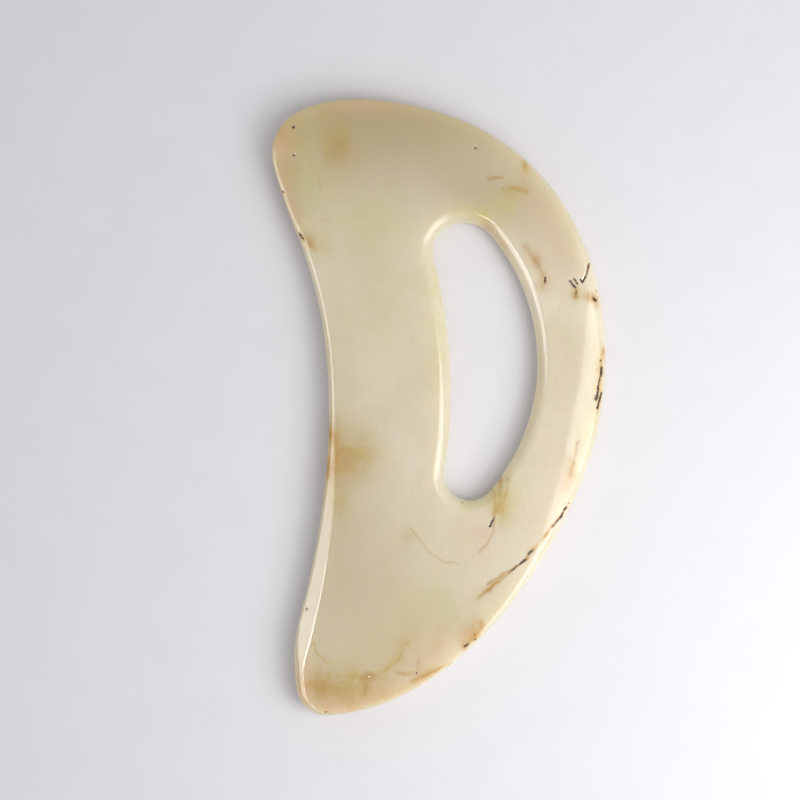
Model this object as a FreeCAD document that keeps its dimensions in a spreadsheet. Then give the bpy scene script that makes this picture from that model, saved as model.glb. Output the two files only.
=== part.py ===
"""Gua sha scraper: one polished stone plate with a finger slot.

The plate lies flat, with its underside on Z = 0. Y runs along its length and X across it: the
hollow scraping edge is on the -X side, and the round back, with the slot beside it, on +X. The
origin is the middle of the plate's length and width.

Both outlines are closed chains of arcs that run into each other without a corner. About every
second arc has its centre given, and an arc between two of those finds its own centre by touching
them both. All sizes are in millimetres.
"""
import FreeCAD, Part
import math
import os
import Sketcher

NODE = "scraper_plate"

# Each arc is (name, radius, centre x, centre y), going round counterclockwise. A negative radius
# curves into the stone. A centre of None is found by touching the arcs before and after.
OUTLINE = (
    ("nose", 13.0, -34.5, 72.0),
    ("cheek", 150.0, None, None),
    ("waist_high", -122.0, -153.5, 3.5),
    ("waist", -180.0, None, None),
    ("waist_low", -242.0, -273.0, 4.5),
    ("heel", 48.0, None, None),
    ("tip", 8.5, -32.0, -79.0),
    ("toe_tip", 59.0, None, None),
    ("toe", 79.0, -45.5, -11.0),
    ("lower_back", 135.0, None, None),
    ("back", 98.0, -50.5, 14.5),
    ("upper_mid", 75.0, None, None),
    ("upper_back", 62.5, -17.0, 23.5),
    ("shoulder", 90.0, None, None),
    ("crown", 48.5, -23.0, 39.0),
    ("brow", 24.0, None, None),
)

# The slot for four fingers. Only the height of the head's centre is given: the head touches the
# outer wall, and that sets how far across it lies.
SLOT = (
    ("slot_outer", 56.5, -28.5, 12.75),
    ("slot_head", 10.25, None, 42.25),
    ("slot_corner", 8.25, None, None),
    ("slot_inner", -150.0, -146.5, 4.5),
    ("slot_foot", 7.25, None, None),
)

# How far the outer edge is rounded over at the end of each arc of the outline. It is slight round
# the nose, crown and toe, opens almost to a half-round on the back, and is broad at the heel.
EDGE_RADIUS = {
    "nose": 1.6,
    "cheek": 2.0,
    "waist_high": 2.0,
    "waist": 2.2,
    "waist_low": 2.8,
    "heel": 2.4,
    "tip": 1.5,
    "toe_tip": 1.5,
    "toe": 1.5,
    "lower_back": 3.8,
    "back": 3.8,
    "upper_mid": 1.8,
    "upper_back": 1.5,
    "shoulder": 1.5,
    "crown": 1.5,
    "brow": 1.5,
}

SIZES = {
    "plate_thickness": 8.0,
    "slot_rim_radius": 3.7,
    # On each face the back is ground to a shallow cone, outside this circle. It falls away so
    # slowly that it would run this much further out to reach half the thickness.
    "bevel_circle": 260.0,
    "bevel_x": -217.5,
    "bevel_y": 44.6,
    "bevel_run": 40.0,
    # On each face the lower scraping edge is ground to a steeper cone, inside this circle.
    "facet_circle": 215.0,
    "facet_x": -244.2,
    "facet_y": -10.0,
    "facet_run": 16.0,
}

# How closely an edge has to follow an arc of a chain to be taken for it.
SAME_RADIUS = 0.05
SAME_CENTRE = 0.5


def make_sheet(doc):
    """A spreadsheet with one named cell for each driving dimension."""
    values = dict(SIZES)
    for name, radius, centre_x, centre_y in OUTLINE + SLOT:
        values[name + "_radius"] = abs(radius)
        if centre_x is not None:
            values[name + "_x"] = centre_x
        if centre_y is not None:
            values[name + "_y"] = centre_y
    for name, radius in EDGE_RADIUS.items():
        values[name + "_edge"] = radius

    sheet = doc.addObject("Spreadsheet::Sheet", "sizes")
    for row, (alias, value) in enumerate(values.items(), start=1):
        sheet.set(f"A{row}", alias)
        sheet.set(f"B{row}", str(value))
        sheet.setAlias(f"B{row}", alias)
    doc.recompute()
    return sheet


def touching_centres(first, first_radius, second, second_radius, radius):
    """The two places for the centre of an arc that touches two others."""
    reach_first = abs(radius - first_radius)
    reach_second = abs(radius - second_radius)
    gap = second - first
    along = (reach_first**2 - reach_second**2 + gap.Length**2) / (2 * gap.Length)
    across = math.sqrt(max(reach_first**2 - along**2, 0.0))
    direction = FreeCAD.Vector(gap).normalize()
    left = FreeCAD.Vector(-direction.y, direction.x, 0)
    middle = first + direction * along
    return middle + left * across, middle - left * across


def tangent_point(centre, radius, next_centre, next_radius):
    """Where one arc of a chain runs into the next."""
    outward = (centre - next_centre) * (1 / (next_radius - radius))
    return centre + outward.normalize() * radius


def turn_of_arc(centre, radius, before, before_radius, after, after_radius):
    """How far a chain turns along an arc, from 0 to a full turn in radians."""
    start = tangent_point(before, before_radius, centre, radius) - centre
    end = tangent_point(centre, radius, after, after_radius) - centre
    turn = math.atan2(end.y, end.x) - math.atan2(start.y, start.x)
    if radius < 0:
        turn = -turn
    return turn % (2 * math.pi)


def chain_centres(arcs):
    """The centre of each arc of a chain."""
    centres = [None if x is None else FreeCAD.Vector(x, y, 0) for _, _, x, y in arcs]
    radii = [radius for _, radius, _, _ in arcs]
    for i, (_, radius, x, y) in enumerate(arcs):
        if x is None and y is not None:
            rise = y - centres[i - 1].y
            across = math.sqrt((radii[i - 1] - radius) ** 2 - rise**2)
            centres[i] = centres[i - 1] + FreeCAD.Vector(across, rise, 0)
    for i, radius in enumerate(radii):
        if centres[i] is None:
            after = (i + 1) % len(arcs)
            neighbours = (centres[i - 1], radii[i - 1], centres[after], radii[after])
            # Of the two circles that touch both neighbours, the chain takes the gentler turn.
            centres[i] = min(
                touching_centres(*neighbours, radius),
                key=lambda centre: turn_of_arc(centre, radius, *neighbours))
    return centres


def bind(sketch, constraint, alias):
    """Add a dimension to a sketch and tie it to its cell of the sheet."""
    index = sketch.addConstraint(constraint)
    sketch.renameConstraint(index, alias)
    sketch.setExpression("Constraints." + alias, "sizes." + alias)


def sketch_chain(body, name, arcs):
    """A closed sketch of tangent arcs, with its radii and given centres tied to the sheet."""
    sketch = body.newObject("Sketcher::SketchObject", name)
    plane = next(f for f in body.Origin.OriginFeatures if f.Role == "XY_Plane")
    sketch.AttachmentSupport = [(plane, "")]
    sketch.MapMode = "FlatFace"

    centres = chain_centres(arcs)
    radii = [radius for _, radius, _, _ in arcs]
    count = len(arcs)
    joints = []
    for i in range(count):
        after = (i + 1) % count
        joints.append(tangent_point(centres[i], radii[i], centres[after], radii[after]))
    up = FreeCAD.Vector(0, 0, 1)
    for i in range(count):
        first, last = joints[i - 1] - centres[i], joints[i] - centres[i]
        if radii[i] < 0:
            first, last = last, first
        circle = Part.Circle(centres[i], up, abs(radii[i]))
        sketch.addGeometry(Part.ArcOfCircle(
            circle, math.atan2(first.y, first.x), math.atan2(last.y, last.x)))

    # A sketch's arcs run counterclockwise, so the chain meets one that curves in at its far end.
    START, END, CENTRE, ORIGIN = 1, 2, 3, -1
    entry = [START if radius > 0 else END for radius in radii]
    leave = [END if radius > 0 else START for radius in radii]
    for i in range(count):
        after = (i + 1) % count
        sketch.addConstraint(Sketcher.Constraint("Tangent", i, leave[i], after, entry[after]))
    for i, (arc, radius, x, y) in enumerate(arcs):
        bind(sketch, Sketcher.Constraint("Radius", i, abs(radius)), arc + "_radius")
        if x is not None:
            across = Sketcher.Constraint("DistanceX", ORIGIN, START, i, CENTRE, x)
            bind(sketch, across, arc + "_x")
        if y is not None:
            along = Sketcher.Constraint("DistanceY", ORIGIN, START, i, CENTRE, y)
            bind(sketch, along, arc + "_y")
    return sketch


def edges_on_chain(shape, arcs):
    """The level edges of a shape that follow a chain, as (edge number, place in the chain)."""
    centres = chain_centres(arcs)
    found = []
    for number, edge in enumerate(shape.Edges, start=1):
        if not isinstance(edge.Curve, Part.Circle):
            continue
        centre = FreeCAD.Vector(edge.Curve.Center.x, edge.Curve.Center.y, 0)
        for i, (_, radius, _, _) in enumerate(arcs):
            same_radius = abs(edge.Curve.Radius - abs(radius)) < SAME_RADIUS
            if same_radius and (centre - centres[i]).Length < SAME_CENTRE:
                found.append((number, i))
    return found


def make_blank(doc):
    """The slab cut to its outline, with the slot through it and the slot's rim rounded over."""
    body = doc.addObject("PartDesign::Body", "blank")
    slab = body.newObject("PartDesign::Pad", "slab")
    slab.Profile = sketch_chain(body, "outline", OUTLINE)
    slab.setExpression("Length", "sizes.plate_thickness")
    doc.recompute()

    slot = body.newObject("PartDesign::Pocket", "slot")
    slot.Profile = sketch_chain(body, "slot_outline", SLOT)
    slot.Type = "ThroughAll"
    slot.Midplane = True
    doc.recompute()
    if slot.Shape.Volume >= slab.Shape.Volume:
        raise RuntimeError("the slot cut nothing")

    rim = body.newObject("PartDesign::Fillet", "slot_rim")
    rim.Base = (slot, [f"Edge{number}" for number, _ in edges_on_chain(slot.Shape, SLOT)])
    rim.setExpression("Radius", "sizes.slot_rim_radius")
    doc.recompute()
    return body


def round_outer_edge(doc, sheet, blank):
    """Round the outer edge on both faces, with a radius that changes along each arc."""
    rounded = doc.addObject("Part::Fillet", "rounded")
    rounded.Base = blank
    edges = []
    for number, i in edges_on_chain(blank.Shape, OUTLINE):
        start_radius = sheet.get(OUTLINE[i - 1][0] + "_edge")
        end_radius = sheet.get(OUTLINE[i][0] + "_edge")
        edges.append((number, start_radius, end_radius))
    rounded.Edges = edges
    doc.recompute()
    return rounded


def double_cone(doc, name, middle_radius):
    """Two cones on one axis, base to base or tip to tip, together as thick as the plate.

    The sheet's NAME_circle is their radius at both faces of the plate, and middle_radius is an
    expression for their radius half way through it.
    """
    face_radius = f"sizes.{name}_circle"
    halves = []
    for half, bottom, top in (
        ("lower", face_radius, middle_radius),
        ("upper", middle_radius, face_radius),
    ):
        cone = doc.addObject("Part::Cone", f"{name}_{half}")
        cone.setExpression("Radius1", bottom)
        cone.setExpression("Radius2", top)
        cone.setExpression("Height", "sizes.plate_thickness / 2")
        cone.setExpression("Placement.Base.x", f"sizes.{name}_x")
        cone.setExpression("Placement.Base.y", f"sizes.{name}_y")
        halves.append(cone)
    lower, upper = halves
    upper.setExpression("Placement.Base.z", "sizes.plate_thickness / 2")
    pair = doc.addObject("Part::Fuse", name)
    pair.Base = lower
    pair.Tool = upper
    return pair


def grind_edges(doc, rounded):
    """Take the shallow bevel off the round back and the facet off the lower scraping edge."""
    bevelled = doc.addObject("Part::Common", "bevelled")
    bevelled.Base = rounded
    bevelled.Tool = double_cone(doc, "bevel", "sizes.bevel_circle + sizes.bevel_run")
    plate = doc.addObject("Part::Cut", NODE)
    plate.Label = NODE
    plate.Base = bevelled
    plate.Tool = double_cone(doc, "facet", "sizes.facet_circle - sizes.facet_run")
    plate.Placement = FreeCAD.Placement()
    doc.recompute()
    return plate


def check(doc, plate):
    """Stop if any feature failed, or if the plate isn't one valid solid."""
    for item in doc.Objects:
        if "Invalid" in item.State or "Error" in item.State:
            raise RuntimeError(f"{item.Name} failed: {item.State}")
    shape = plate.Shape
    if shape.isNull() or not shape.isValid() or len(shape.Solids) != 1:
        raise RuntimeError(f"{plate.Label} isn't one valid solid")


def main():
    os.makedirs("parts", exist_ok=True)
    doc = FreeCAD.newDocument("scraper")
    sheet = make_sheet(doc)
    blank = make_blank(doc)
    rounded = round_outer_edge(doc, sheet, blank)
    plate = grind_edges(doc, rounded)
    check(doc, plate)
    print(f"{plate.Label}: {plate.Shape.Volume:.0f} mm3, {len(plate.Shape.Faces)} faces")
    plate.Shape.exportStep(f"parts/{plate.Label}.step")


main()
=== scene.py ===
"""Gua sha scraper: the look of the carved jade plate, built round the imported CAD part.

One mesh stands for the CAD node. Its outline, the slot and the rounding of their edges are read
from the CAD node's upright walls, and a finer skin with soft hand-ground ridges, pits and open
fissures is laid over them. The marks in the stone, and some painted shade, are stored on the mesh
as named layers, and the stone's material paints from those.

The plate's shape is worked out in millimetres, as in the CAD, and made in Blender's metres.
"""

import math

import bpy
import numpy as np
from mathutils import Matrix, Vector, geometry, noise


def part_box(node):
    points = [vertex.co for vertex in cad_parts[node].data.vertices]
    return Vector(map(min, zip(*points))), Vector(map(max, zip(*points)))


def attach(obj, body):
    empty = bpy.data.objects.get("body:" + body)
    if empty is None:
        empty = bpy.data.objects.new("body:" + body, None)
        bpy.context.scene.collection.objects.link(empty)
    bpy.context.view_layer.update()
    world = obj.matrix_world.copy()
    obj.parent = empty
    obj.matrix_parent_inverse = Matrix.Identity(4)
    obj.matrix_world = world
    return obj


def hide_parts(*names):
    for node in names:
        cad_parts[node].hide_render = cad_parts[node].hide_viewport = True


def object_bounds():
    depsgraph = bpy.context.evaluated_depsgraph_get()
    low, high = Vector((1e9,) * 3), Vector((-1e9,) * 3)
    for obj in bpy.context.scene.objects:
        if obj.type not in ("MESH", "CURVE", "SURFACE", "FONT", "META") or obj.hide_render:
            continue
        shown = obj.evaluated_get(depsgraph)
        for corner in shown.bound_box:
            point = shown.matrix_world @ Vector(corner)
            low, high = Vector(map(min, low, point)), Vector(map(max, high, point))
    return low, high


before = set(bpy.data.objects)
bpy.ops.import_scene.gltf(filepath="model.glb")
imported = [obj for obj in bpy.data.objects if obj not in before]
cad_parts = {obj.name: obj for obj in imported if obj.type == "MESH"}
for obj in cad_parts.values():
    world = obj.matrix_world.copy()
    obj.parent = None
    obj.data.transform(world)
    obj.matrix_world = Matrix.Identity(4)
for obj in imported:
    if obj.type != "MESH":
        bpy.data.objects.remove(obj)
cad_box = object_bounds()

NODE = "scraper_plate"
MM = 0.001

# ---------------------------------------------------------------------------------- the shape

# On each face the back is ground to a shallow cone outside one circle, and the lower scraping
# edge to a steeper one inside another. As (centre x, centre y, radius, slope, softness), where
# the slope is how fast the ground surface falls away and the softness how wide its crease is.
# The circles and the slopes are the CAD's own.
BEVEL = (-217.5, 44.6, 260.0, 0.1, 2.4)
FACET = (-244.2, -10.0, 215.0, 0.25, 0.3)
RIDGE_SOFTNESS = 0.1       # how much a ridge between two ground surfaces is polished down

SLICE_OFFSET = 0.03        # the slice that finds the walls is this far above half way up
UPRIGHT = 1e-3             # a wall's mesh edge leans by less than this

EDGE_STEP = 0.42           # spacing of the mesh along an edge
WALL_SMOOTHING = 4         # steps each way that the wall's height is averaged over
RIDGE_TRIES = 81           # distances tried in looking for the ridge
RIDGE_SMOOTHING = 5        # steps each way that the ridge's distance is averaged over
ROUNDING_RINGS = 13        # rings from the upright wall up to the ridge
SHOULDER = (0.14, 0.38, 0.78)     # rings beyond the ridge, as distances from it
WALL_RINGS = 2             # rings between the two faces' rounding

FACE_STEP = 1.15           # spacing of the mesh over a face
FINE_STEP = 0.26           # and beside a pit, a fissure or a vein
FINE_REACH = 0.9           # how far from them the finer mesh reaches
CREASE_ROWS = (0.12, 0.42, 0.95)  # rows of points beside the facet's crease, by distance
CREASE_STEP = 0.6          # spacing of the points along those rows
# The least gaps that the points over a face keep, as shares of the two steps above.
FINE_GAP = 0.8             # from fine points already placed
FINE_EDGE_GAP = 0.6        # from the two edges, for a fine point
FACE_EDGE_GAP = 0.5        # from the edges and the crease's rows, for any other point

WAVE_DEPTH = 0.05          # hand polishing leaves the faces uneven by this much
WAVES = ((0.7, 17.0, 3), (0.3, 17.0 / 2.3, 4))  # as (share, length, seed of the noise)


def soft_positive(value, softness):
    """The value where it is positive and 0 elsewhere, with a rounded corner between."""
    return (value + np.sqrt(value**2 + softness**2)) / 2


def ground_drop(x, y):
    """How far the bevel and the facet take a face down."""
    drop = 0.0
    for (centre_x, centre_y, radius, slope, softness), side in ((BEVEL, 1), (FACET, -1)):
        beyond = side * (np.hypot(x - centre_x, y - centre_y) - radius)
        drop = drop + slope * soft_positive(beyond, softness)
    return drop


def rounding_drop(distance, radius):
    """How far the rounded edge takes a face down, this far in from the wall."""
    reach = np.clip(radius - distance, 0, radius)
    return radius - np.sqrt(radius**2 - reach**2)


def polished_drop(distance, radius, x, y):
    """The lower of the rounding and the ground surfaces, with the ridge between polished down."""
    rounding = rounding_drop(distance, radius)
    ground = ground_drop(x, y)
    softness = np.clip(np.minimum(rounding, ground), 1e-6, RIDGE_SOFTNESS)
    blend = np.clip(1 - np.abs(rounding - ground) / softness, 0, 1)
    return np.maximum(rounding, ground) + softness * blend**2 / 4


def wall_loops(node):
    """The closed lines of the node's upright walls, longest first.

    The CAD mesh is sliced just above half way up. Each loop is an array of (x, y, z of the wall's top), with
    a point wherever the slice meets an upright mesh edge, since those lie exactly on the arcs.
    """
    points = np.array([vertex.co for vertex in node.data.vertices]) / MM
    half_way = points[:, 2].max() / 2 + SLICE_OFFSET
    neighbours, tops = {}, {}
    for polygon in node.data.polygons:
        met = []
        for pair in polygon.edge_keys:
            low, high = sorted((points[pair[0]], points[pair[1]]), key=lambda point: point[2])
            if low[2] < half_way < high[2]:
                share = (half_way - low[2]) / (high[2] - low[2])
                place = tuple(np.round((low + share * (high - low))[:2], 3))
                met.append(place)
                if np.hypot(*(high - low)[:2]) < UPRIGHT:
                    tops[place] = max(high[2], tops.get(place, 0))
        if len(met) == 2:
            for place, other in (met, met[::-1]):
                neighbours.setdefault(place, set()).add(other)

    loops = []
    while neighbours:
        place = next(iter(neighbours))
        loop = []
        while place is not None:
            loop.append(place)
            near = neighbours.pop(place)
            place = next((other for other in sorted(near) if other in neighbours), None)
        upright = [place for place in loop if place in tops]
        loops.append(np.array([(x, y, tops[x, y]) for x, y in upright]))
    loops.sort(key=lambda loop: -np.ptp(loop[:, 1]))
    return [loop if signed_area(loop) > 0 else loop[::-1] for loop in loops]


def signed_area(loop):
    """Positive where a closed line runs counterclockwise."""
    x, y = loop[:, 0], loop[:, 1]
    return 0.5 * np.sum(x * np.roll(y, -1) - np.roll(x, -1) * y)


def smooth_loop(knots, step):
    """Evenly spaced points on a smooth closed curve through the knots.

    The first two columns follow a periodic cubic spline, and the third, the wall's top, runs
    straight from knot to knot.
    """
    closed = np.vstack([knots, knots[:1]])
    gaps = np.hypot(*np.diff(closed[:, :2], axis=0).T)
    count = len(gaps)
    system = np.zeros((count, count))
    for i in range(count):
        system[i, i - 1] += gaps[i - 1]
        system[i, i] += 2 * (gaps[i - 1] + gaps[i])
        system[i, (i + 1) % count] += gaps[i]
    slopes = np.diff(closed[:, :2], axis=0) / gaps[:, None]
    bends = np.linalg.solve(system, 6 * (slopes - np.roll(slopes, 1, axis=0)))
    bends = np.vstack([bends, bends[:1]])

    starts = np.concatenate([[0], np.cumsum(gaps)])
    along = np.linspace(0, starts[-1], round(starts[-1] / step), endpoint=False)
    i = np.clip(np.searchsorted(starts, along, side="right") - 1, 0, count - 1)
    gap = gaps[i][:, None]
    after = (along - starts[i])[:, None]
    before = gap - after
    start, end = closed[i, :2], closed[i + 1, :2]
    curve = (bends[i] * before**3 + bends[i + 1] * after**3) / (6 * gap)
    curve += (start / gap - bends[i] * gap / 6) * before
    curve += (end / gap - bends[i + 1] * gap / 6) * after
    return curve, np.interp(along, starts, closed[:, 2])


def smoothed(values, reach):
    """Values round a closed loop, averaged with their neighbours this many steps each way."""
    weights = np.hanning(2 * reach + 3)[1:-1]
    total = sum(w * np.roll(values, k - reach) for k, w in enumerate(weights))
    return total / weights.sum()


def edge_rings(loop, thickness, into_stone):
    """The upper face's rings along one edge, from the top of its wall inward.

    into_stone is 1 where the stone lies to the left of the loop and -1 where to the right.
    Returns an array of (ring, place along the loop, x y z).
    """
    line, wall_top = smooth_loop(loop, EDGE_STEP)
    radius = smoothed(thickness - wall_top, WALL_SMOOTHING)[None, :]
    tangent = np.roll(line, -1, axis=0) - np.roll(line, 1, axis=0)
    tangent /= np.linalg.norm(tangent, axis=1)[:, None]
    inward = into_stone * np.stack([-tangent[:, 1], tangent[:, 0]])

    # The ridge is where the ground surfaces come out from under the rounding.
    tried = np.linspace(0, 1, RIDGE_TRIES)[:, None] * radius
    x, y = (line[:, axis] + tried * inward[axis] for axis in (0, 1))
    rounding_is_lower = rounding_drop(tried, radius) > ground_drop(x, y)
    last = len(tried) - 1 - np.argmax(rounding_is_lower[::-1], axis=0)
    ridge = smoothed(tried[last, np.arange(len(line))], RIDGE_SMOOTHING)

    turn = np.arccos(1 - ridge / radius[0])
    share = np.linspace(0, 1, ROUNDING_RINGS + 1)[:, None]
    distances = radius * (1 - np.cos(share * turn))
    distances = np.vstack([distances, ridge + np.array(SHOULDER)[:, None]])
    x, y = (line[:, axis] + distances * inward[axis] for axis in (0, 1))
    z = thickness - polished_drop(distances, radius, x, y)
    return np.stack([x, y, z], axis=-1)


def inside(loop, points):
    """Which points lie inside a closed line."""
    found = np.zeros(len(points), bool)
    for (x1, y1), (x2, y2) in zip(loop, np.roll(loop, -1, axis=0)):
        crosses = (y1 > points[:, 1]) != (y2 > points[:, 1])
        rise = y2 - y1 if y2 != y1 else 1e-12
        found ^= crosses & (points[:, 0] < x1 + (points[:, 1] - y1) * (x2 - x1) / rise)
    return found


def distance_to(line, points):
    """How far points are from a line through a list of places. One place alone is a dot."""
    places = np.array(line, float)
    if len(places) == 1:
        return np.hypot(*(points - places[0]).T)
    best = np.full(len(points), np.inf)
    for start, end in zip(places[:-1], places[1:]):
        run = end - start
        share = np.clip((points - start) @ run / (run @ run), 0, 1)
        best = np.minimum(best, np.hypot(*(points - start - share[:, None] * run).T))
    return best


def beyond_facet(points):
    """How far points are outside the facet's circle."""
    centre_x, centre_y, radius = FACET[:3]
    return np.hypot(points[:, 0] - centre_x, points[:, 1] - centre_y) - radius


def crease_points(low_y):
    """Rows of points along both sides of the facet's crease, which the mesh needs to be crisp.

    They run from the plate's foot up to the height of the facet's own centre.
    """
    centre_x, centre_y, radius = FACET[:3]
    turn = np.arange(low_y - centre_y, 0, CREASE_STEP) / radius
    offsets = [side * row for row in CREASE_ROWS for side in (-1, 1)]
    return np.array([(centre_x + (radius + offset) * math.cos(angle),
                      centre_y + (radius + offset) * math.sin(angle))
                     for offset in offsets for angle in turn])


def staggered_rows(low, high, step, row_step):
    """Points in rows between two corners, every second row shifted by half a step."""
    grid = []
    for row, y in enumerate(np.arange(low[1], high[1], row_step)):
        shift = step / 2 if row % 2 else 0
        grid += [(x, y) for x in np.arange(low[0] + shift, high[0], step)]
    return np.array(grid)


def nearest(lines, points):
    """How far points are from the nearest of the lines."""
    return np.min([distance_to(line, points) for line in lines], axis=0)


def face_points(outer, inner):
    """Places for the mesh's points over a face, closer together beside pits and veins."""
    low, high = outer.min(axis=0), outer.max(axis=0)
    marks = [line for _, _, line in OPENINGS]
    marks += [line for _, _, _, line in VEINS if len(line) > 1]

    fine = crease_points(low[1])
    for line in marks:
        places = np.array(line, float)
        added = staggered_rows(places.min(axis=0) - FINE_REACH, places.max(axis=0) + FINE_REACH,
                               FINE_STEP, FINE_STEP)
        added = added[distance_to(line, added) < FINE_REACH]
        gap = np.hypot(*(added[:, None] - fine[None]).transpose(2, 0, 1)).min(axis=1)
        fine = np.vstack([fine, added[gap > FINE_GAP * FINE_STEP]])

    coarse = staggered_rows(low, high, FACE_STEP, FACE_STEP * math.sqrt(3) / 2)
    clear_of_marks = nearest(marks, coarse) > FINE_REACH + FINE_STEP
    crease_band = CREASE_ROWS[-1] + FACE_EDGE_GAP * FACE_STEP
    clear_of_crease = np.abs(beyond_facet(coarse)) > crease_band

    chosen = np.vstack([coarse[clear_of_marks & clear_of_crease], fine])
    chosen = chosen[inside(outer, chosen) & ~inside(inner, chosen)]
    edges = [np.vstack([loop, loop[:1]]) for loop in (outer, inner)]
    edge_gap = np.where(nearest(marks, chosen) < FINE_REACH,
                        FINE_EDGE_GAP * FINE_STEP, FACE_EDGE_GAP * FACE_STEP)
    return chosen[nearest(edges, chosen) > edge_gap]


def plate_mesh(node):
    """The plate's skin: points in millimetres, and faces with their points in order."""
    low, high = (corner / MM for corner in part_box(NODE))
    thickness = high.z - low.z
    outline, slot = wall_loops(node)
    points, faces = [], []

    def add(new):
        start = sum(len(block) for block in points)
        points.append(new.reshape(-1, 3))
        return start + np.arange(new.size // 3).reshape(new.shape[:-1])

    inner_rings, band_ends = [], []
    for loop, into_stone in ((outline, 1), (slot, -1)):
        upper = edge_rings(loop, thickness, into_stone)
        lower = upper * (1, 1, -1) + (0, 0, thickness)
        shares = np.linspace(0, 1, WALL_RINGS + 2)[1:-1, None, None]
        wall = lower[0] + (upper[0] - lower[0]) * shares
        numbers = add(np.concatenate([lower[::-1], wall, upper]))
        here, there = numbers[:-1], numbers[1:]
        quads = np.stack([here, np.roll(here, -1, axis=1), np.roll(there, -1, axis=1), there],
                         axis=-1).reshape(-1, 4)
        faces += (quads if into_stone > 0 else quads[:, ::-1]).tolist()
        inner_rings.append(upper[-1, :, :2])
        band_ends.append((numbers[-1], numbers[0]))

    # Each face between the two edges is one mesh of triangles, the same above and below.
    outer, inner = inner_rings
    loose = face_points(outer, inner)
    flat = np.vstack([outer, inner, loose])
    rings = []
    for start, count in ((0, len(outer)), (len(outer), len(inner))):
        rings += [(start + i, start + (i + 1) % count) for i in range(count)]
    places, _, triangles, origins, _, _ = geometry.delaunay_2d_cdt(
        [Vector(place) for place in flat], rings, [], 0, 1e-7)
    if len(places) != len(flat):
        raise RuntimeError("the face's mesh gained or lost points")
    middles = np.array([np.mean([places[i] for i in t], axis=0) for t in triangles])
    order = [source[0] for source in origins]
    kept = inside(outer, middles) & ~inside(inner, middles)
    triangles = [[order[i] for i in t] for t, keep in zip(triangles, kept) if keep]

    heights = thickness - ground_drop(loose[:, 0], loose[:, 1])
    upper_loose = add(np.column_stack([loose, heights]))
    lower_loose = add(np.column_stack([loose, thickness - heights]))
    upper = np.concatenate([band_ends[0][0], band_ends[1][0], upper_loose])
    lower = np.concatenate([band_ends[0][1], band_ends[1][1], lower_loose])
    for triangle in triangles:
        a, b, c = (flat[i] for i in triangle)
        if (b - a)[0] * (c - a)[1] - (b - a)[1] * (c - a)[0] < 0:
            triangle = triangle[::-1]
        faces.append(upper[triangle].tolist())
        faces.append(lower[triangle[::-1]].tolist())
    return np.vstack(points), faces, thickness


# --------------------------------------------------------------------- the marks in the stone, and painted shade

# All places are millimetres on the upper face. A mark runs down through the plate, leaning a
# little, so that it comes out somewhere else on the underside.

# Open pits and fissures, cut into the skin as (width, depth, line).
OPENINGS = (
    (0.9, 0.35, [(-41.3, 79.3)]),
    (0.9, 0.30, [(-41.1, 71.4)]),
    (0.8, 0.30, [(-44.2, 60.9)]),
    (1.0, 0.40, [(10.4, 73.4)]),
    (0.8, 0.30, [(-37.5, -57.2)]),
    (0.7, 0.08, [(-20.1, -76.3)]),
    (0.7, 0.25, [(-6.3, -75.2)]),
    (0.8, 0.10, [(9.8, -64.3)]),
    (0.9, 0.30, [(10.3, -65.9)]),
    (0.7, 0.25, [(6.9, -27.4)]),
    (0.7, 0.30, [(-39.4, 49.1), (-38.6, 47.8)]),
    (0.9, 0.35, [(30.0, 36.4), (30.0, 35.2)]),
    (0.7, 0.30, [(14.4, -33.5), (15.7, -31.6)]),
    (0.6, 0.25, [(22.6, -44.9), (24.2, -43.2)]),
    (0.6, 0.20, [(25.4, -41.9), (26.5, -40.9)]),
    (0.5, 0.18, [(32.1, -34.0), (33.9, -32.2)]),
    (0.7, 0.28, [(33.9, -32.2), (35.2, -30.3)]),
    (0.7, 0.28, [(35.5, -29.4), (36.2, -28.5)]),
    (0.6, 0.25, [(37.3, 35.3), (38.5, 34.0)]),
    (0.6, 0.25, [(38.0, 36.2), (39.0, 35.2)]),
    (0.5, 0.20, [(39.9, 36.5), (40.6, 35.5), (42.0, 38.4), (42.8, 40.4)]),
    (0.9, 0.30, [(44.1, 30.7)]),
    (0.8, 0.30, [(45.9, 13.2)]),
    (0.7, 0.35, [(46.2, 10.8), (45.9, 8.0), (45.3, 5.4)]),
    (0.7, 0.30, [(45.1, 4.0), (44.7, 2.4)]),
    (0.7, 0.30, [(46.1, 3.2), (45.3, 0.6), (44.8, 0.0)]),
)

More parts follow.
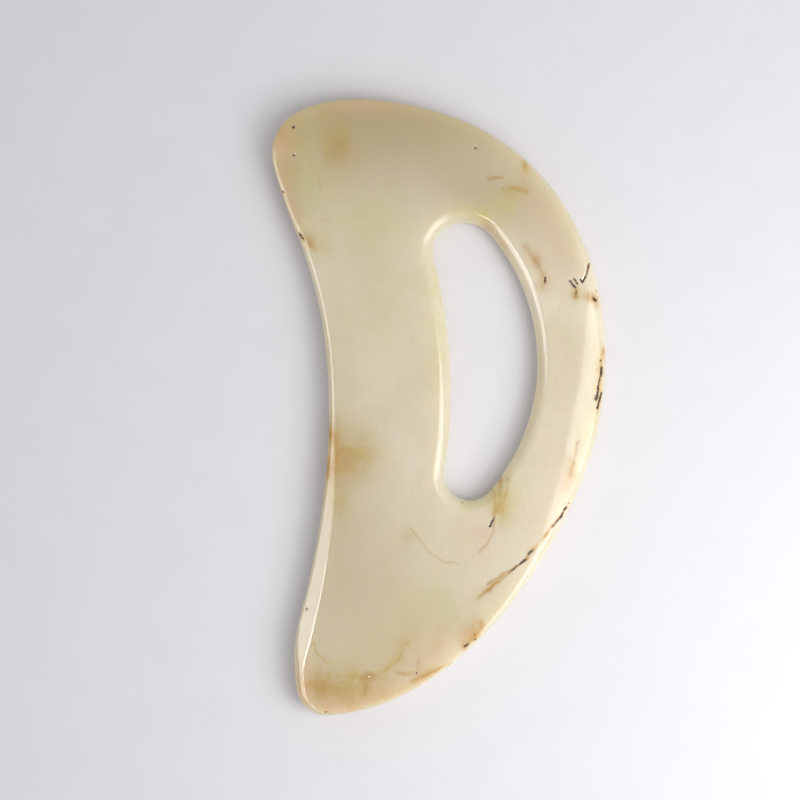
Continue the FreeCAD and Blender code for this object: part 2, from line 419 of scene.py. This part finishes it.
# Veins as (layer, width, strength, line). The ink layer is near black and shows broken, the rust
# layer is an orange brown, and the olive layer is a dull golden brown.
VEINS = (
    ("ink", 0.63, 1.0, [(-41.3, 79.3)]),
    ("ink", 0.63, 1.0, [(-41.1, 71.4)]),
    ("ink", 0.55, 1.0, [(-44.2, 60.9)]),
    ("ink", 0.67, 1.0, [(10.4, 73.4)]),
    ("ink", 0.50, 0.9, [(-37.5, -57.2)]),
    ("ink", 0.42, 0.8, [(-31.8, -16.1)]),
    ("ink", 0.50, 0.9, [(-32.0, -86.3)]),
    ("ink", 0.46, 0.6, [(-20.1, -76.3)]),
    ("ink", 0.50, 0.8, [(-6.3, -75.2)]),
    ("ink", 0.50, 0.9, [(9.8, -64.3)]),
    ("ink", 0.59, 1.0, [(10.3, -65.9)]),
    ("ink", 0.46, 0.8, [(6.9, -27.4)]),
    ("rust", 0.8, 0.65, [(39.2, -9.6), (38.6, -12.6), (38.0, -16.4), (36.9, -19.4)]),
    ("ink", 0.38, 0.8, [(39.0, -10.3)]),
    ("ink", 0.38, 0.8, [(38.2, -16.0)]),
    ("ink", 0.34, 0.6, [(37.0, -17.5)]),
    ("ink", 0.38, 0.5, [(18.4, 59.4)]),
    ("ink", 0.42, 0.9, [(35.8, -27.4)]),
    ("ink", 0.42, 0.9, [(37.0, -27.4)]),
    ("ink", 0.50, 1.0, [(-39.5, 49.2), (-38.6, 47.8)]),
    ("ink", 0.55, 0.9, [(30.0, 36.5), (30.0, 35.1)]),
    ("ink", 0.55, 1.0, [(14.3, -33.7), (15.7, -31.6)]),
    ("ink", 0.42, 0.8, [(19.8, -46.3), (22.6, -44.9)]),
    ("ink", 0.55, 1.0, [(22.6, -44.9), (24.2, -43.2)]),
    ("ink", 0.50, 0.9, [(25.4, -41.9), (26.5, -40.9)]),
    ("ink", 0.50, 0.8, [(32.1, -34.0), (33.9, -32.2)]),
    ("ink", 0.63, 1.0, [(33.9, -32.2), (35.2, -30.3)]),
    ("ink", 0.63, 1.0, [(35.5, -29.4), (36.2, -28.5)]),
    ("ink", 0.50, 0.9, [(8.6, -66.9), (7.3, -67.7)]),
    ("ink", 0.50, 1.0, [(37.1, 35.5), (38.6, 34.0)]),
    ("ink", 0.46, 1.0, [(38.0, 36.3), (39.1, 35.1)]),
    ("ink", 0.46, 1.0, [(39.9, 36.5), (40.6, 35.5), (42.0, 38.4), (42.8, 40.4)]),
    ("ink", 0.34, 0.6, [(42.9, 35.9)]),
    ("ink", 0.38, 0.7, [(38.9, 32.9), (38.8, 32.0)]),
    ("ink", 0.63, 1.0, [(43.7, 30.9), (44.4, 30.3)]),
    ("ink", 0.42, 0.8, [(44.8, 32.7)]),
    ("ink", 0.46, 0.9, [(47.0, 15.3)]),
    ("ink", 0.59, 1.0, [(45.9, 13.2)]),
    ("ink", 0.63, 1.0, [(46.3, 11.0), (45.9, 8.0), (45.3, 5.0)]),
    ("ink", 0.67, 1.0, [(45.2, 4.4), (44.6, 2.0)]),
    ("ink", 0.63, 1.0, [(46.3, 3.6), (45.5, 0.8), (44.8, -0.3)]),
    ("rust", 0.8, 0.85, [(11.0, -54.0), (14.1, -51.2), (16.9, -48.9), (19.8, -46.7)]),
    ("rust", 0.6, 0.85, [(13.5, -49.9), (16.5, -48.1), (19.8, -46.0), (22.8, -44.6)]),
    ("rust", 0.7, 0.85, [(22.6, -44.9), (26.5, -40.9), (32.1, -34.0), (36.2, -28.5)]),
    ("rust", 0.7, 0.38, [(11.2, -41.2), (13.6, -38.4), (15.4, -35.0), (15.7, -31.6)]),
    ("rust", 0.8, 0.70, [(15.6, -30.8), (17.0, -26.2), (17.7, -21.0)]),
    ("rust", 0.6, 0.55, [(16.4, -29.6), (18.6, -25.4), (19.6, -20.4)]),
    ("rust", 0.6, 0.45, [(15.8, -28.6), (15.8, -25.0), (14.6, -22.6)]),
    ("rust", 0.9, 0.55, [(18.1, 61.6), (21.0, 61.8), (24.8, 61.1)]),
    ("rust", 0.7, 0.45, [(13.8, 64.4), (15.6, 64.8), (17.6, 65.2)]),
    ("rust", 1.0, 0.60, [(24.3, 69.6), (24.5, 67.8)]),
    ("rust", 1.2, 0.60, [(30.0, 35.8), (28.8, 38.3), (27.1, 41.4), (24.8, 45.5)]),
    ("rust", 1.5, 0.75, [(38.9, 33.6), (38.8, 31.6)]),
    ("rust", 1.6, 0.65, [(42.6, 31.6), (44.4, 30.2), (44.9, 28.4)]),
    ("rust", 1.5, 0.55, [(47.0, 16.0), (46.0, 12.0), (45.4, 5.0), (45.0, -1.0)]),
    ("rust", 0.8, 0.60, [(-7.8, -77.6), (-5.4, -76.6), (0.3, -73.8), (3.4, -72.5)]),
    ("rust", 1.3, 0.65, [(7.3, -67.9), (10.2, -65.4), (12.2, -61.6)]),
    ("rust", 1.2, 0.55, [(-20.1, -76.3), (-21.0, -81.4)]),
    ("rust", 1.4, 0.80, [(-18.9, -76.0), (-21.6, -76.6)]),
    ("rust", 1.1, 0.45, [(-11.6, -75.2), (-6.3, -75.1), (-6.0, -72.4)]),
    ("rust", 0.8, 0.45, [(-39.5, 49.5), (-37.6, 46.4), (-34.6, 44.6)]),
    ("olive", 0.7, 0.50, [(-35.6, -66.4), (-34.4, -69.6), (-31.9, -72.2), (-30.0, -72.9)]),
    ("olive", 1.2, 0.55, [(-31.4, -75.9), (-24.4, -76.2), (-20.1, -76.5), (-14.8, -74.3),
                          (-11.6, -71.5), (-9.2, -66.7)]),
    ("olive", 0.5, 0.55, [(-8.2, -34.2), (-5.4, -37.6), (-3.1, -40.9), (-0.7, -42.6)]),
    ("olive", 0.6, 0.30, [(-0.7, -42.6), (1.8, -43.8), (5.4, -44.2)]),
    ("olive", 0.7, 0.24, [(-37.3, 70.4), (-34.4, 66.2), (-33.2, 62.0)]),
    ("olive", 0.6, 0.20, [(-37.0, 53.2), (-33.4, 52.6), (-30.6, 53.0)]),
)

# Blooms of colour as (layer, x, y, half width, half height, turn in degrees, strength). The tan blooms are
# partly the stone's own tone and partly painted shade, darker over the nose, the left side and the foot,
# away from the lights.
BLOOMS = (
    ("tan", -16.0, 84.0, 52.0, 26.0, 0, 0.95),
    ("green", -38.0, 68.0, 9.0, 16.0, 0, 0.55),
    ("tan", 14.0, 60.0, 15.0, 8.0, -25, 0.55),
    ("tan", -30.0, -36.0, 17.0, 44.0, 6, 0.52),
    ("tan", -34.0, 14.0, 8.0, 24.0, 0, 0.35),
    ("tan", -4.0, -50.0, 30.0, 24.0, 0, 0.24),
    ("peach", 30.0, 0.0, 10.0, 46.0, 0, 0.17),
    ("peach", -44.4, 75.0, 2.8, 5.6, 10, 1.0),
    ("peach", -43.8, 64.0, 2.2, 9.0, 12, 0.85),
    ("tan", -43.2, 60.0, 3.6, 9.0, 12, 0.80),
    ("peach", -24.0, 72.0, 3.0, 4.0, 0, 0.20),
    ("peach", -26.0, 65.0, 6.0, 6.0, 0, 0.12),
    ("peach", -22.0, 85.5, 13.0, 2.6, -2, 0.45),
    ("olive", -41.6, 77.4, 4.4, 5.4, 0, 0.35),
    ("rust", -44.6, 78.0, 2.0, 3.4, 10, 0.30),
    ("olive", -41.3, 67.7, 2.4, 2.6, 0, 0.30),
    ("olive", -29.6, 77.0, 4.6, 8.0, 12, 0.48),
    ("rust", -29.6, 71.6, 3.4, 2.8, 15, 0.28),
    ("rust", -29.0, 74.4, 2.6, 2.0, 20, 0.22),
    ("green", -19.6, 53.0, 12.0, 8.0, 10, 0.55),
    ("green", -15.0, 30.0, 12.0, 16.0, 0, 0.40),
    ("rust", -37.3, 47.0, 1.8, 2.2, 20, 0.62),
    ("olive", -34.0, 45.6, 3.6, 4.6, 25, 0.40),
    ("peach", -41.6, 54.0, 1.8, 4.6, 22, 0.55),
    ("olive", -24.6, -13.0, 7.6, 7.0, -10, 0.68),
    ("rust", -28.0, -15.0, 4.0, 4.8, 20, 0.45),
    ("rust", -30.6, -7.6, 2.0, 3.8, 0, 0.80),
    ("rust", -31.0, -18.2, 2.4, 3.4, 12, 0.90),
    ("olive", -28.6, -26.0, 2.8, 6.8, 12, 0.45),
    ("peach", -33.0, -24.0, 1.6, 6.0, 12, 0.50),
    ("olive", -9.2, -36.6, 2.0, 1.8, 0, 0.35),
    ("olive", -26.0, -78.6, 13.0, 5.4, -4, 0.64),
    ("rust", -33.4, -79.0, 4.6, 4.2, -30, 0.52),
    ("rust", -19.4, -76.4, 2.4, 1.3, 8, 0.55),
    ("rust", -27.0, -83.6, 5.0, 1.8, 0, 0.28),
    ("peach", -14.0, -80.6, 11.0, 3.2, 14, 0.70),
    ("peach", -28.0, -85.6, 8.0, 2.6, -6, 0.90),
    ("peach", -38.6, -78.6, 2.8, 7.0, -4, 1.0),
    ("peach", -1.0, -68.0, 8.5, 6.4, 30, 0.50),
    ("rust", -4.0, -76.0, 4.2, 1.6, 27, 0.40),
    ("olive", -10.0, -68.0, 12.0, 7.0, 15, 0.30),
    ("rust", 9.4, -63.4, 3.4, 2.6, 40, 0.42),
    ("green", -2.0, -56.0, 9.0, 9.0, 0, 0.38),
    ("green", -1.0, 20.0, 3.0, 22.0, 0, 0.30),
    ("olive", 17.6, -26.4, 3.0, 5.8, 12, 0.42),
    ("green", 17.6, -25.4, 4.2, 6.4, 12, 0.80),
    ("olive", 16.6, -28.8, 2.0, 2.8, 15, 0.80),
    ("olive", 14.6, -50.8, 5.4, 1.3, 38, 0.45),
    ("peach", 11.4, -36.0, 4.6, 5.0, -30, 0.50),
    ("green", 9.0, -27.8, 3.4, 1.8, 10, 0.70),
    ("peach", 35.8, -22.2, 2.2, 4.0, 20, 0.75),
    ("olive", 37.2, -18.0, 1.6, 4.6, 14, 0.55),
    ("rust", 43.0, 31.2, 2.0, 1.5, -20, 0.55),
    ("green", 38.6, 32.0, 2.4, 2.4, 0, 0.55),
    ("rust", 45.4, 6.0, 1.3, 7.6, -4, 0.40),
    ("green", 18.2, 57.4, 4.2, 3.4, 20, 0.85),
    ("green", 11.4, 54.4, 6.0, 2.2, -12, 0.80),
    ("olive", 21.5, 61.4, 4.6, 2.2, 4, 0.45),
    ("rust", 14.4, 50.4, 2.4, 4.2, 35, 0.30),
    ("rust", 18.4, 44.6, 1.6, 5.0, 25, 0.30),
    ("rust", 27.4, 41.6, 2.2, 4.2, 32, 0.38),
    ("rust", 30.0, 34.6, 2.2, 2.2, 0, 0.42),
    ("olive", 24.3, 67.4, 2.2, 3.6, 0, 0.35),
    ("peach", 33.0, 45.0, 5.0, 10.0, 25, 0.35),
    ("peach", 27.0, 55.0, 6.0, 6.0, 25, 0.35),
)

LAYERS = ("ink", "rust", "olive", "green", "peach", "tan")
LEAN = (0.12, -0.2)        # how far a mark moves across for each millimetre down
UNDERSIDE_SHARE = 0.55     # how strong a mark still is on the underside
WANDER = 0.45              # how far a line strays from its smooth course
WANDER_LENGTH = 2.6
VEIN_CHANGES = (0.95, 0.8, 0.25, 1.4)  # a vein's strength along it: mean, swing, least and most
PIT_FADE = (1.25, 3.75)    # below the upper face, how deep a pit is still full and where it ends
PIT_REACH = 0.75           # how far a pit's slope reaches, as a share of its width


def noise_at(points, wave_length, seed):
    """Smooth noise of about -1 to 1 at each point."""
    scaled = points / wave_length + np.array([seed * 7.3, seed * 3.1, seed * 5.7])
    return np.array([noise.noise(Vector(point)) for point in scaled])


def on_upper_face(points, thickness):
    """How deep points are, and where the marks that run through them meet the upper face."""
    depth = thickness - points[:, 2]
    return depth, points[:, :2] + depth[:, None] * LEAN


def stone_layers(points, thickness):
    """The strength of every layer at each point, from 0 to 1."""
    depth, surface = on_upper_face(points, thickness)
    wander = np.stack([noise_at(points, WANDER_LENGTH, seed) for seed in (1, 2)], axis=1)
    strayed = surface + WANDER * wander
    mean, swing, least, most = VEIN_CHANGES
    comes_and_goes = np.clip(mean + swing * noise_at(points, WANDER_LENGTH, 5), least, most)
    fade = 1 - (1 - UNDERSIDE_SHARE) * depth / thickness
    layers = {name: np.zeros(len(points)) for name in LAYERS}
    for name, width, strength, line in VEINS:
        place = surface if len(line) == 1 else strayed
        closeness = np.clip(1 - distance_to(line, place) / width, 0, 1)
        if name != "ink":
            closeness = closeness * comes_and_goes
        layers[name] = np.maximum(layers[name], strength * closeness * fade)
    for name, x, y, half_width, half_height, turn, strength in BLOOMS:
        cosine, sine = math.cos(math.radians(turn)), math.sin(math.radians(turn))
        across, up = (strayed - (x, y)).T
        along_x = (across * cosine + up * sine) / half_width
        along_y = (up * cosine - across * sine) / half_height
        bloom = strength * np.exp(-(along_x**2 + along_y**2)) * fade
        layers[name] = layers[name] + bloom * (1 - layers[name])
    return layers


def cut_depth(points, thickness):
    """How deep the pits, the fissures and the unevenness of hand polishing go at each point."""
    depth, surface = on_upper_face(points, thickness)
    wave = sum(share * noise_at(points, length, seed) for share, length, seed in WAVES)
    cut = WAVE_DEPTH * np.clip(0.5 + 0.5 * wave, 0, 1)
    full, gone = PIT_FADE
    on_top = np.clip((gone - depth) / (gone - full), 0, 1)
    for width, deep, line in OPENINGS:
        closeness = np.clip(1 - distance_to(line, surface) / (width * PIT_REACH), 0, 1)
        cut = cut + deep * on_top * closeness**2 * (3 - 2 * closeness)
    return cut


def build_plate():
    """The plate's piece, in the frame and without its material."""
    points, faces, thickness = plate_mesh(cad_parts[NODE])
    mesh = bpy.data.meshes.new("jade_plate")
    mesh.from_pydata((points * MM).tolist(), [], faces)
    mesh.shade_smooth()
    mesh.update()
    outward = np.array([vertex.normal for vertex in mesh.vertices])
    cut = points - outward * cut_depth(points, thickness)[:, None]
    mesh.vertices.foreach_set("co", (cut * MM).astype(np.float32).ravel())
    mesh.update()
    for name, strength in stone_layers(points, thickness).items():
        layer = mesh.attributes.new(name, "FLOAT", "POINT")
        layer.data.foreach_set("value", strength.astype(np.float32))
    plate = bpy.data.objects.new("jade_plate", mesh)
    bpy.context.scene.collection.objects.link(plate)
    return plate


# ------------------------------------------------------------------------------ the materials


class Tree:
    """A material's nodes, added with their settings and links in one call each."""

    def __init__(self, name):
        self.material = bpy.data.materials.new(name)
        self.material.use_nodes = True
        self.nodes = self.material.node_tree.nodes
        self.links = self.material.node_tree.links
        self.shader = self.nodes["Principled BSDF"]

    def plug(self, node, sockets):
        """Link each socket to another node's output, or set it to a value."""
        for name, value in sockets.items():
            socket = node.inputs[name]
            if isinstance(value, bpy.types.NodeSocket):
                self.links.new(value, socket)
            else:
                socket.default_value = value

    def add(self, kind, sockets, **settings):
        """A new node, with its settings and what goes into its sockets."""
        node = self.nodes.new("ShaderNode" + kind)
        for name, value in settings.items():
            setattr(node, name, value)
        self.plug(node, sockets)
        return node

    def noise(self, place, wave_length, detail=3.0, roughness=0.55, distortion=0.0):
        """Noise of 0 to 1 whose features are this many metres across."""
        return self.add("TexNoise", {
            "Vector": place, "Scale": 1 / wave_length, "Detail": detail,
            "Roughness": roughness, "Distortion": distortion}).outputs["Fac"]

    def maths(self, operation, first, second, clamp=False):
        node = self.add("Math", {0: first, 1: second}, operation=operation, use_clamp=clamp)
        return node.outputs["Value"]

    def ramp(self, value, low, high, start=0.0, end=1.0):
        """The value's range from low to high, spread smoothly from start to end."""
        return self.add("MapRange", {
            "Value": value, "From Min": low, "From Max": high, "To Min": start, "To Max": end},
            interpolation_type="SMOOTHSTEP").outputs["Result"]

    def blend(self, share, below, above):
        """One colour over another, by a share of 0 to 1."""
        node = self.add("Mix", {0: share, 6: below, 7: above}, data_type="RGBA")
        return node.outputs[2]

    def layer(self, name):
        """One of the mesh's layers of marks, as a strength of 0 to 1."""
        return self.add("Attribute", {}, attribute_name=name).outputs["Fac"]


def rgb(red, green, blue):
    """A display colour of 0 to 255 a channel, as the linear colour that shaders take."""
    def linear(value):
        share = value / 255
        return share / 12.92 if share <= 0.04045 else ((share + 0.055) / 1.055) ** 2.4
    return linear(red), linear(green), linear(blue), 1.0


def jade_material():
    """Pale translucent jade: cloudy, with wisps, blooms and veins, under a polished surface."""
    tree = Tree("polished_jade")
    place = tree.add("TexCoord", {}).outputs["Object"]

    # Clouds in the stone, from milky cream to a deeper olive cream.
    clouds = tree.noise(place, 0.040, detail=3.0, roughness=0.45, distortion=0.5)
    colour = tree.blend(tree.ramp(clouds, 0.30, 0.70), rgb(227, 217, 190), rgb(240, 232, 212))
    tint = tree.noise(place, 0.030, detail=2.0, distortion=0.6)
    colour = tree.blend(tree.ramp(tint, 0.50, 0.75, 0.0, 0.45), colour, rgb(218, 217, 178))
    blush = tree.noise(place, 0.041, detail=2.0, distortion=0.5)
    colour = tree.blend(tree.ramp(blush, 0.52, 0.78, 0.0, 0.5), colour, rgb(232, 211, 188))

    # Fine wisps drawn out along the plate, and a faint crystal grain.
    stretched = tree.add("Mapping", {"Vector": place, "Scale": (1.0, 0.35, 1.0)}).outputs[0]
    wisps = tree.noise(stretched, 0.0075, detail=6.0, roughness=0.62, distortion=1.6)
    colour = tree.blend(tree.ramp(wisps, 0.50, 0.72, 0.0, 0.15), colour, rgb(243, 237, 217))
    colour = tree.blend(tree.ramp(wisps, 0.46, 0.26, 0.0, 0.14), colour, rgb(206, 192, 150))
    grain = tree.noise(place, 0.0009, detail=2.0)
    colour = tree.blend(tree.ramp(grain, 0.30, 0.75, 0.0, 0.12), colour, rgb(206, 192, 154))

    # The nose, the low side and the foot are a deeper tan, partly the stone's own tone and partly painted
    # shade on the sides that face away from the lights.
    colour = tree.blend(tree.layer("tan"), colour, rgb(195, 178, 138))

    # Blooms, broken up by noise.
    patchy = tree.noise(place, 0.0046, detail=4.0, roughness=0.55, distortion=0.25)
    broken = tree.ramp(patchy, 0.30, 0.70, 0.65, 1.30)
    for name, opacity, shade in (
        ("green", 0.75, rgb(212, 205, 142)),
        ("peach", 0.70, rgb(226, 189, 156)),
        ("olive", 0.90, rgb(200, 172, 88)),
        ("rust", 0.95, rgb(190, 145, 50)),
    ):
        share = tree.maths("MULTIPLY", tree.layer(name), broken)
        share = tree.maths("MULTIPLY", share, opacity, clamp=True)
        colour = tree.blend(share, colour, shade)

    # Dark fill in the pits and fissures, broken into dashes by fine noise.
    crumbs = tree.noise(place, 0.0008, detail=3.0, roughness=0.7)
    ragged = tree.maths("MULTIPLY", tree.layer("ink"), tree.ramp(crumbs, 0.30, 0.62, 0.55, 1.5))
    colour = tree.blend(tree.ramp(ragged, 0.10, 0.50, 0.0, 0.70), colour, rgb(166, 118, 58))
    dark = tree.ramp(ragged, 0.42, 0.72)
    colour = tree.blend(dark, colour, rgb(22, 13, 7))

    # The polish: faint smears, a duller fill in the cracks, and hair-fine wear.
    smears = tree.noise(stretched, 0.012, detail=4.0, roughness=0.6)
    gloss = tree.ramp(smears, 0.30, 0.75, 0.05, 0.11)
    gloss = tree.maths("ADD", gloss, tree.maths("MULTIPLY", dark, 0.30))
    hairs = tree.add("Mapping", {
        "Vector": place, "Rotation": (0.0, 0.0, 0.5), "Scale": (1.0, 0.06, 1.0)}).outputs[0]
    wear = tree.noise(hairs, 0.00035, detail=2.0)
    bump = tree.add("Bump", {"Height": wear, "Strength": 0.03, "Distance": 0.00005})

    tree.plug(tree.shader, {
        "Base Color": colour,
        "Roughness": gloss,
        "IOR": 1.6,
        "Normal": bump.outputs["Normal"],
        "Subsurface Weight": 1.0,
        "Subsurface Radius": (1.0, 0.8, 0.5),
        "Subsurface Scale": 0.010,
    })
    return tree.material


def floor_material():
    """Matt white board."""
    tree = Tree("white_board")
    place = tree.add("TexCoord", {}).outputs["Object"]
    mottle = tree.noise(place, 0.012, detail=4.0)
    colour = tree.blend(mottle, rgb(234, 233, 235), rgb(239, 238, 240))
    tree.plug(tree.shader, {"Base Color": colour, "Roughness": 0.85, "IOR": 1.3})
    return tree.material


# -------------------------------------------------------------------------------- the studio


FLOOR_SPAN = 6.0
FLOOR_GAP = 0.0001         # the board lies this far under the plate

# Two softboxes at the right and two glints at the left, as (name, place, aim, width and height,
# watts, colour, whether it lights the floor). Places are metres from the plate's middle.
# The main light reaches in to where the ground bevel mirrors it to the camera and the flat face
# doesn't. The facet glint hangs where the facet of the scraping edge mirrors it, and the rim
# glint where the far rim of the slot does. The glints are only reflections in the polish.
LIGHTS = (
    ("main_light", (0.234, -0.075, 0.455), (0.0, 0.0, 0.0), (0.24, 0.26), 0.63,
     (1.0, 0.985, 0.985), True),
    ("side_light", (0.27, -0.15, 0.25), (0.10, -0.05, 0.0), (0.30, 0.20), 0.66,
     (1.0, 0.985, 0.985), True),
    ("facet_glint", (-0.41, -0.13, 0.50), (0.0, 0.0, 0.0), (0.34, 0.34), 1.5,
     (1.0, 0.99, 0.99), False),
    ("rim_glint", (-0.175, -0.15, 0.62), (0.0, 0.0, 0.0), (0.24, 0.09), 0.70,
     (1.0, 0.99, 0.98), False),
)
ROOM_COLOUR = (0.97, 0.965, 1.0, 1.0)
ROOM_STRENGTH = 0.53

# The camera looks straight down, a little to the left of the plate's middle, so that the plate
# is a little to the right of the middle of the view. Shares of the plate's length or width.
VIEW_WIDTH = 1.294         # of the length
CAMERA_LEFT = 0.1165       # of the width
CAMERA_UP = 0.0118         # of the length
SENSOR_MM = 36.0
LENS_MM = 85.0


def floor_board():
    """A pale board under the plate."""
    mesh = bpy.data.meshes.new("floor")
    half = FLOOR_SPAN / 2
    corners = [(-half, -half, 0), (half, -half, 0), (half, half, 0), (-half, half, 0)]
    mesh.from_pydata(corners, [], [(0, 1, 2, 3)])
    mesh.materials.append(floor_material())
    floor = bpy.data.objects.new("floor", mesh)
    floor.location.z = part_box(NODE)[0].z - FLOOR_GAP
    bpy.context.scene.collection.objects.link(floor)


def soft_light(centre, name, place, aim, size, watts, colour, lights_floor):
    """A rectangular softbox that faces a point. Its width is level and its height leans."""
    place, aim = centre + Vector(place), centre + Vector(aim)
    data = bpy.data.lights.new(name, "AREA")
    data.shape = "RECTANGLE"
    data.size, data.size_y = size
    data.energy = watts
    data.color = colour
    light = bpy.data.objects.new(name, data)
    light.location = place
    light.rotation_euler = (aim - place).to_track_quat("-Z", "Y").to_euler()
    light.visible_diffuse = lights_floor
    bpy.context.scene.collection.objects.link(light)


def studio(centre):
    """The lights, and the dim white room round them."""
    for light in LIGHTS:
        soft_light(centre, *light)
    world = bpy.data.worlds.new("room")
    world.use_nodes = True
    background = world.node_tree.nodes["Background"]
    background.inputs["Color"].default_value = ROOM_COLOUR
    background.inputs["Strength"].default_value = ROOM_STRENGTH
    bpy.context.scene.world = world
    bpy.context.scene.view_settings.view_transform = "Standard"


def overhead_camera(low, high):
    """The camera, straight above the plate."""
    width, length = high.x - low.x, high.y - low.y
    centre = (low + high) / 2
    data = bpy.data.cameras.new("camera")
    data.sensor_width = SENSOR_MM
    data.lens = LENS_MM
    distance = VIEW_WIDTH * length * LENS_MM / SENSOR_MM
    camera = bpy.data.objects.new("camera", data)
    camera.location = (
        centre.x - CAMERA_LEFT * width, centre.y + CAMERA_UP * length, high.z + distance)
    bpy.context.scene.collection.objects.link(camera)
    bpy.context.scene.camera = camera


# --------------------------------------------------------------------------------- the scene

plate = build_plate()
plate.data.materials.append(jade_material())
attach(plate, "root")
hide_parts(NODE)

low, high = cad_box
floor_board()
studio((low + high) / 2)
overhead_camera(low, high)
